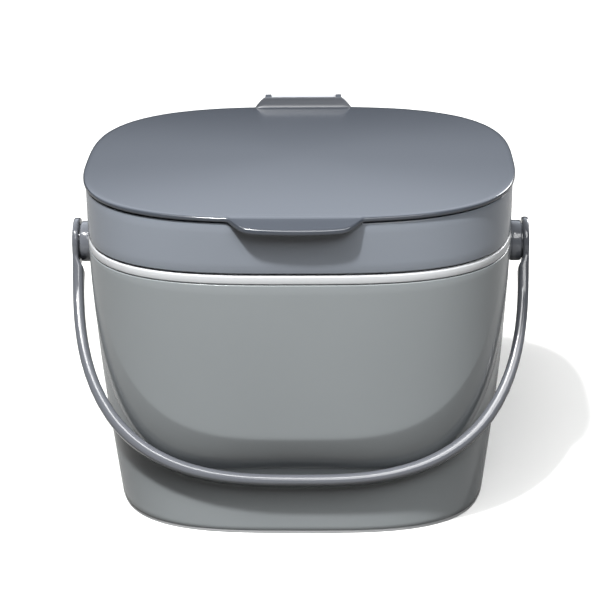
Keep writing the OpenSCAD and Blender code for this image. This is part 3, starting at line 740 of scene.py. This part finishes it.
bracket = {
    "barrelHalf": 18.9, "barrelRadius": 3.5, "bore": 1.56, "barrelEdge": 0.5, "edgeMiddle": 0.15,
    "leafHalf": 17.4, "leaf": (104.4, 107.2), "leafBottom": 178.0, "leafDrop": 1.0, "leafEdge": 0.5,
    "foot": (163.0, 181.3), "seat": 100.3, "footEdge": 1.2, "footSegments": 4,
}


def makeBracket():
    axisY, axisZ = hingeBlock["axis"]
    half, radius, bore = bracket["barrelHalf"], bracket["barrelRadius"], bracket["bore"]
    edge, middle = bracket["barrelEdge"], bracket["edgeMiddle"]
    profile = [(-half, bore), (-half, radius - edge)]
    profile += [(-half + middle, radius - middle), (-half + edge, radius)]
    profile += [(-x, out) for x, out in reversed(profile)]
    mesh = spinProfile(profile, 64, (0, axisY, axisZ))
    leaf = bracket["leafHalf"]
    front, back = bracket["leaf"]
    low, high = bracket["foot"]
    leafTop = axisZ - bracket["leafDrop"]
    addTo(mesh, softBox((-leaf, front, bracket["leafBottom"]), (leaf, back, leafTop), bracket["leafEdge"]))
    addTo(mesh, softBox((-leaf, bracket["seat"], low), (leaf, back, high), bracket["footEdge"],
                        bracket["footSegments"]))
    return mesh


finishPiece("hingeBracket", makeBracket(), "collar", bracketPlastic, ["hinge_bracket"])

screw = {
    "x": 11.4, "z": 169.0,
    "profile": ((-12.0, 1.5), (0, 1.5), (0, 2.85), (0.9, 2.85),
                (1.5, 2.4), (1.8, 1.6), (1.8, 0.9), (0.9, 0.8)),
}


def makeScrews():
    mesh = bmesh.new()
    for x in (-screw["x"], screw["x"]):
        turned = spinProfile(screw["profile"], 48, closed=False)
        place = Matrix.Translation((x, bracket["leaf"][1], screw["z"])) @ Matrix.Rotation(radians(90), 4, "Z")
        bmesh.ops.transform(turned, matrix=place, verts=turned.verts)
        addTo(mesh, turned)
    return mesh


finishPiece("hingeScrews", makeScrews(), "collar", turnedSteel, ["hinge_screws"])

# handle

handle = {
    "halfWidth": 126.98, "reach": 141.55, "square": 2.85, "lean": 41.59, "pivot": 139.0,
    "eyeRadius": 13.3, "eyeThickness": 3.4, "thickness": 5.9, "slopeStart": 12.6, "slopeLength": 4.5,
    "armBand": 18.0, "gripBand": 9.5, "taper": 34.0, "neckSoftness": 0.4, "straightAbove": 20,
    "edge": 2.6, "bandShare": 0.9, "thickShare": 0.88, "cornerPoints": 9,
    "eyeStart": 0.08, "eyeSteps": 14, "gripStart": 104, "gripSteps": 72,
    "armSteps": (2.5, 5, 7.5, 9.5, 11, 12.2, 12.7, 13.4, 14.4, 15.4, 16.4, 17.0, 17.6, 19, 22, 25, 28, 31,
                 34, 38, 43, 48, 54, 60, 66, 72, 80, 88, 96),
}


def handleStations():
    # distance below the pivots along each arm, then the turn round the grip
    turns = arcSteps(handle["eyeStart"], pi / 2, handle["eyeSteps"])
    arm = [-handle["eyeRadius"] * cos(turn) for turn in turns] + list(handle["armSteps"])
    first = asin((handle["gripStart"] / handle["reach"]) ** (handle["square"] / 2))
    stations = [("arm", 1, value) for value in arm]
    stations += [("grip", turn) for turn in arcSteps(first, pi - first, handle["gripSteps"])]
    return stations + [("arm", -1, value) for value in reversed(arm)]


def bandWidth(down):
    disc = 2 * sqrt(max(0.01, handle["eyeRadius"] ** 2 - down ** 2))
    if down < 0:
        return disc
    rod = mix(handle["gripBand"], handle["armBand"], (1 + cos(pi * min(1, down / handle["taper"]))) / 2)
    return 0.5 * (disc + rod + sqrt((disc - rod) ** 2 + handle["neckSoftness"]))


def handleEdge(turn, depth):
    power = 2 / handle["square"]
    x = (handle["halfWidth"] - depth) * abs(cos(turn)) ** power * (1 if cos(turn) > 0 else -1)
    return x, -(handle["reach"] - depth) * sin(turn) ** power


def makeHandle():
    stations = handleStations()
    corners = handle["cornerPoints"]
    points = 4 * corners
    leaned = Matrix.Translation((0, 0, handle["pivot"])) @ Matrix.Rotation(-radians(handle["lean"]), 4, "X")

    def place(step, index):
        station = stations[step]
        if station[0] == "arm":
            side, down = station[1:]
            turn = asin((max(0, down) / handle["reach"]) ** (handle["square"] / 2))
            turn = turn if side > 0 else pi - turn
        else:
            turn = station[1]
        outerX, outerZ = handleEdge(turn, 0)
        if station[0] == "arm" and down < 0:
            outerZ = -down
        down = -outerZ
        slope = min(1, max(0, (down - handle["slopeStart"]) / handle["slopeLength"]))
        thick = mix(handle["eyeThickness"], handle["thickness"], slope)
        innerX, innerZ = handleEdge(turn, thick)
        if station[0] == "arm" and down < handle["straightAbove"]:
            innerZ = outerZ
        halfBand, halfThick = bandWidth(down) / 2, thick / 2
        edge = min(handle["edge"], halfBand * handle["bandShare"], halfThick * handle["thickShare"])
        quarter, part = divmod(index, corners)
        angle = quarter * pi / 2 + part / (corners - 1) * pi / 2
        across = (halfThick - edge) * (1, -1, -1, 1)[quarter] + edge * cos(angle)
        along = (halfBand - edge) * (1, 1, -1, -1)[quarter] + edge * sin(angle)
        share = 0.5 - across / (2 * halfThick)
        return leaned @ Vector((mix(outerX, innerX, share), along, mix(outerZ, innerZ, share)))

    return growSections(points, len(stations), place)


finishPiece("bailHandle", makeHandle(), "handle", handlePlastic, ["bail_handle"])

# pivots

pivot = {
    "z": 139.0, "padX": 116.28, "outX": 122.88, "radius": 11.4, "bore": 4.05,
    "spigot": 8.0, "spigotLength": 3.5, "flangeBack": 2.4, "flange": 0.3, "edge": 0.8, "edgeMiddle": 0.25,
    "groove": ((0.3, 0.45), (0.8, 0.45), (1.1, 0.1), (1.4, 0)),   # distance out from the pad, depth
    "washer": 9.8, "washerEdge": 9.6, "washerChamfer": 0.1, "washerThickness": 0.7,
}


def makeBoss():
    radius, padX, outX, bore = pivot["radius"], pivot["padX"], pivot["outX"], pivot["bore"]
    inner, back, flange = padX - pivot["spigotLength"], padX - pivot["flangeBack"], pivot["flange"]
    edge, middle = pivot["edge"], pivot["edgeMiddle"]
    profile = [(inner, bore), (inner, pivot["spigot"]), (back, pivot["spigot"]), (back, radius + flange)]
    profile += [(padX - flange, radius + flange), (padX, radius)]
    profile += [(padX + out, radius - depth) for out, depth in pivot["groove"]]
    profile += [(outX - edge, radius), (outX - middle, radius - middle), (outX, radius - edge), (outX, bore)]
    return spinProfile(profile, 128, (0, 0, pivot["z"]))


def makeWasher():
    near, bore, radius, edge = pivot["outX"], pivot["bore"], pivot["washer"], pivot["washerEdge"]
    far, chamfer = near + pivot["washerThickness"], pivot["washerChamfer"]
    profile = [(near, bore), (near, edge), (near + chamfer, radius)]
    profile += [(far - chamfer, radius), (far, edge), (far, bore)]
    return spinProfile(profile, 96, (0, 0, pivot["z"]))


for side, name in ((1, "right"), (-1, "left")):
    boss, washer = makeBoss(), makeWasher()
    if side < 0:
        mirrored(boss)
        mirrored(washer)
    title = name.capitalize()
    finishPiece("pivotBoss" + title, boss, "bin", bossPlastic, ["pivot_boss_" + name])
    finishPiece("pivotWasher" + title, washer, "bin", bossPlastic, ["pivot_washer_" + name])

# the frame's own hardware

steelNodes = ["hinge_backplate", "hinge_pin"]
steelNodes += [kind + side for side in ("left", "right") for kind in ("pivot_pin_", "pin_retainer_")]
for node in steelNodes:
    piece = nodes[node]
    piece.data.materials.clear()
    piece.data.materials.append(turnedSteel)
print("hardware finished")

# floor, light and camera

studio = {
    "floorSize": 6.0, "floorGrid": 8, "floorRough": 0.9, "floorColour": (0.88, 0.88, 0.87),
    "floorBounce": 0.02, "floorMirror": 0.35, "floorLift": 0.03, "aim": (0.0, -0.03, 0.09),
    "key": {"power": 132.0, "size": (0.19, 0.19), "distance": 3.0, "towards": (-0.25, -0.42, 0.87)},
    "soft": {"power": 30.0, "size": (1.7, 0.45), "distance": 2.2, "towards": (-0.20, -0.42, 0.87)},
    "fill": {"power": 15.0, "size": (1.2, 0.6), "distance": 1.5, "towards": (0.28, -0.66, 0.69)},
    "rear": {"power": 17.0, "size": (0.7, 0.7), "distance": 1.8, "towards": (0.58, 0.72, 0.42)},
    "skyColour": (0.88, 0.95, 1.06), "zenith": 0.05, "low": 0.003, "skyFade": (0.45, 0.95), "backdrop": 0.8,
    "glow": 2.4, "glowHeight": 0.5, "glowWidth": 0.17, "glowReach": 0.5, "glowFade": (-0.2, 0.3),
    "target": (-0.0007, 0.0, 0.1031), "distance": 1.1121, "elevation": 21.943, "yaw": 1.45, "roll": -0.64,
    "lens": 117.529, "sensor": 36, "clip": (0.02, 50),
}


def makeFloor():
    mesh = bmesh.new()
    grid = studio["floorGrid"]
    bmesh.ops.create_grid(mesh, x_segments=grid, y_segments=grid, size=studio["floorSize"])
    data = bpy.data.meshes.new("floor")
    mesh.to_mesh(data)
    mesh.free()
    floor = bpy.data.objects.new("floor", data)
    scene.collection.objects.link(floor)
    material = bpy.data.materials.new("paleFloor")
    material.use_nodes = True
    tree = material.node_tree
    shader = tree.nodes["Principled BSDF"]
    shader.inputs["Roughness"].default_value = studio["floorRough"]
    shader.inputs["Specular IOR Level"].default_value = 0.0
    rays = tree.nodes.new("ShaderNodeLightPath")
    tone = tree.nodes.new("ShaderNodeMix")  # the sheet shows and mirrors white, but lights the caddy little
    tone.data_type = "RGBA"
    tone.inputs["A"].default_value = (*[studio["floorBounce"]] * 3, 1)
    tone.inputs["B"].default_value = (*studio["floorColour"], 1)
    seen = mathNode(tree, "MULTIPLY_ADD", rays.outputs["Is Glossy Ray"], studio["floorMirror"],
                    rays.outputs["Is Camera Ray"])
    tree.links.new(seen, tone.inputs["Factor"])
    shader.inputs["Emission Color"].default_value = (1, 1, 1, 1)
    lift = mathNode(tree, "MULTIPLY", rays.outputs["Is Camera Ray"], studio["floorLift"])
    tree.links.new(lift, shader.inputs["Emission Strength"])
    tree.links.new(tone.outputs["Result"], shader.inputs["Base Color"])
    data.materials.append(material)


def makeLamp(name, look):
    towards = Vector(look["towards"]).normalized()
    light = bpy.data.lights.new(name, "AREA")
    light.shape = "ELLIPSE"
    light.size, light.size_y = look["size"]
    light.energy = look["power"]
    lamp = bpy.data.objects.new(name, light)
    lamp.location = Vector(studio["aim"]) + towards * look["distance"]
    lamp.rotation_euler = towards.to_track_quat("Z", "Y").to_euler()
    scene.collection.objects.link(lamp)


def fadeNode(tree, value, start, end, low=0.0, high=1.0):
    node = tree.nodes.new("ShaderNodeMapRange")
    node.interpolation_type = "SMOOTHSTEP"
    for label, amount in (("From Min", start), ("From Max", end), ("To Min", low), ("To Max", high)):
        node.inputs[label].default_value = amount
    tree.links.new(value, node.inputs["Value"])
    return node.outputs["Result"]


def makeSky():  # dim light from above, a glow behind that only reflections show, a backdrop for the camera
    world = bpy.data.worlds.new("studioWorld")
    world.use_nodes = True
    tree = world.node_tree
    background = tree.nodes["Background"]
    background.inputs["Color"].default_value = (*studio["skyColour"], 1)
    split = tree.nodes.new("ShaderNodeSeparateXYZ")
    tree.links.new(tree.nodes.new("ShaderNodeTexCoord").outputs["Generated"], split.inputs[0])
    overhead = fadeNode(tree, split.outputs["Z"], *studio["skyFade"], studio["low"], studio["zenith"])
    above = mathNode(tree, "SUBTRACT", split.outputs["Z"], studio["glowHeight"])
    off = mathNode(tree, "MINIMUM", mathNode(tree, "DIVIDE", above, studio["glowWidth"]),
                   mathNode(tree, "DIVIDE", above, studio["glowReach"]))
    bell = mathNode(tree, "EXPONENT", mathNode(tree, "MULTIPLY", mathNode(tree, "MULTIPLY", off, off), -1.0))
    behind = fadeNode(tree, split.outputs["Y"], *studio["glowFade"])
    rays = tree.nodes.new("ShaderNodeLightPath")
    reflected = mathNode(tree, "MULTIPLY", rays.outputs["Is Glossy Ray"], studio["glow"])
    glow = mathNode(tree, "MULTIPLY", mathNode(tree, "MULTIPLY", bell, behind), reflected)
    strength = mathNode(tree, "ADD", overhead, glow)
    strength = mathNode(tree, "MULTIPLY_ADD", rays.outputs["Is Camera Ray"], studio["backdrop"], strength)
    tree.links.new(strength, background.inputs["Strength"])
    scene.world = world


def makeCamera():
    yaw, elevation = radians(studio["yaw"]), radians(studio["elevation"])
    camera = bpy.data.objects.new("camera", bpy.data.cameras.new("camera"))
    camera.data.lens = studio["lens"]
    camera.data.sensor_width = studio["sensor"]
    camera.data.clip_start, camera.data.clip_end = studio["clip"]
    back = Vector((sin(yaw) * cos(elevation), -cos(yaw) * cos(elevation), sin(elevation)))
    turned = Matrix.Rotation(yaw, 4, "Z") @ Matrix.Rotation(pi / 2 - elevation, 4, "X") @ \
        Matrix.Rotation(radians(studio["roll"]), 4, "Z")
    camera.matrix_world = Matrix.Translation(Vector(studio["target"]) + back * studio["distance"]) @ turned
    scene.collection.objects.link(camera)
    scene.camera = camera


makeFloor()
for lampName in ("key", "soft", "rear", "fill"):
    makeLamp(lampName + "Light", studio[lampName])
makeSky()
makeCamera()
scene.view_settings.view_transform = "Standard"
print("studio ready")
